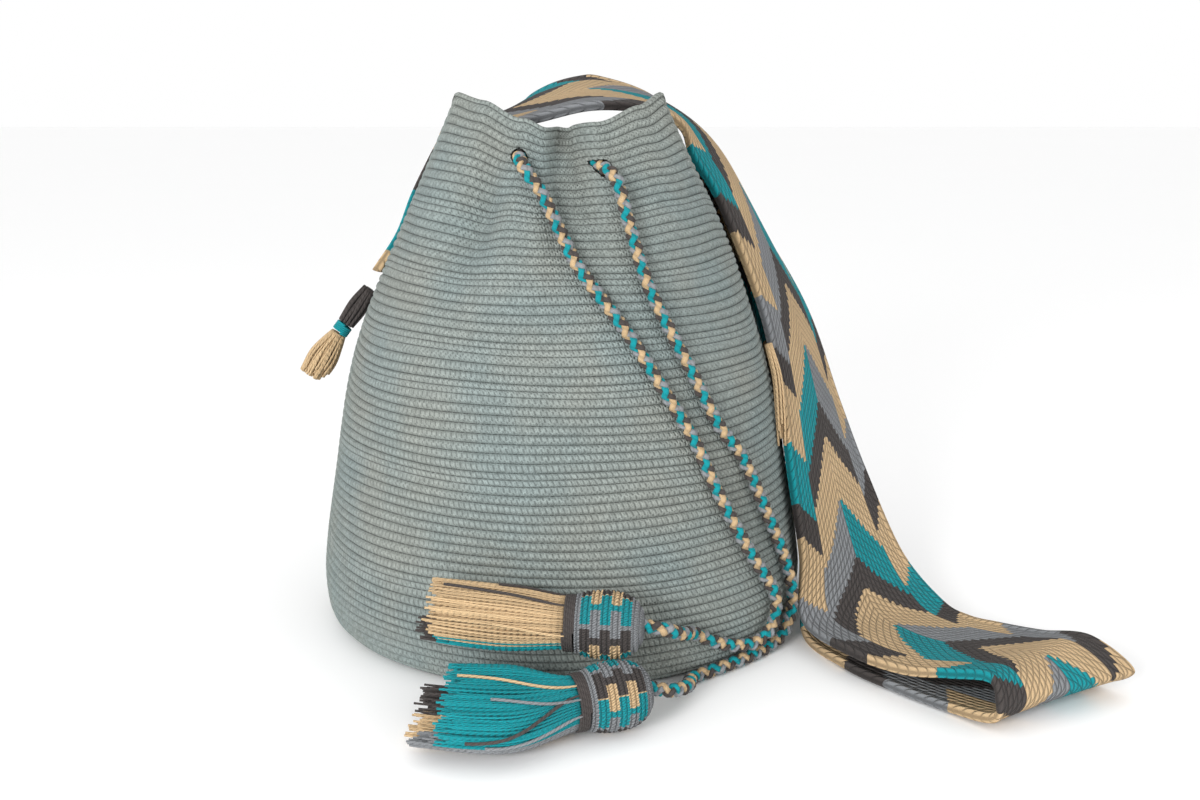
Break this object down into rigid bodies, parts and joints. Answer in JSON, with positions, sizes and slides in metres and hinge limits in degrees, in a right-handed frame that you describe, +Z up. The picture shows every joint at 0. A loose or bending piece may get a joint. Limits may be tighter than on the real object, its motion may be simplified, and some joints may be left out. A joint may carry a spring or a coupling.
{
  "type": "wayuu mochila bag",
  "caption": "Crocheted bucket bag with a gathered mouth, a braided drawstring ending in capped yarn tassels, and a wide woven zigzag shoulder strap sewn to its back and trailing to the floor.",
  "frame": {"origin": "centre of the bag's flat round base, on the surface it stands on", "axes": "+Z up, -Y the front where the drawstring comes out, +X the side the strap trails to"},
  "size_m": [0.3999, 0.3169, 0.2732],
  "materials": {
    "sage_yarn": "matt heather sage-grey cotton yarn, crocheted in tight rows",
    "woven_zigzag": "matt woven cotton band with a teal, beige, charcoal and grey zigzag",
    "braid": "matt round braid of teal, beige, grey and charcoal strands",
    "cap_crochet": "matt crochet in four colours",
    "teal_yarn": "soft teal yarn",
    "beige_yarn": "soft beige yarn",
    "charcoal_yarn": "soft charcoal yarn",
    "grey_yarn": "soft grey yarn"
  },
  "bodies": {
    "root": {"bag_body": "sage_yarn", "strap": "woven_zigzag", "left_seam_yarn": "charcoal_yarn", "right_seam_yarn": "charcoal_yarn", "left_fringe_charcoal": "charcoal_yarn", "left_fringe_binding": "teal_yarn", "left_fringe_beige": "beige_yarn", "right_fringe": "beige_yarn", "drawstring_mouth_run": "braid", "drawstring_left_tail": "braid", "drawstring_right_tail": "braid", "upper_tassel_cap": "cap_crochet", "upper_tassel_neck_binding": "charcoal_yarn", "upper_tassel_beige_hank": "beige_yarn", "upper_tassel_teal_hank": "teal_yarn", "upper_tassel_charcoal_hank": "charcoal_yarn", "lower_tassel_cap": "cap_crochet", "lower_tassel_neck_binding": "charcoal_yarn", "lower_tassel_teal_hank": "teal_yarn", "lower_tassel_charcoal_hank": "charcoal_yarn", "lower_tassel_beige_hank": "beige_yarn", "lower_tassel_grey_hank": "grey_yarn"}
  },
  "joints": []
}
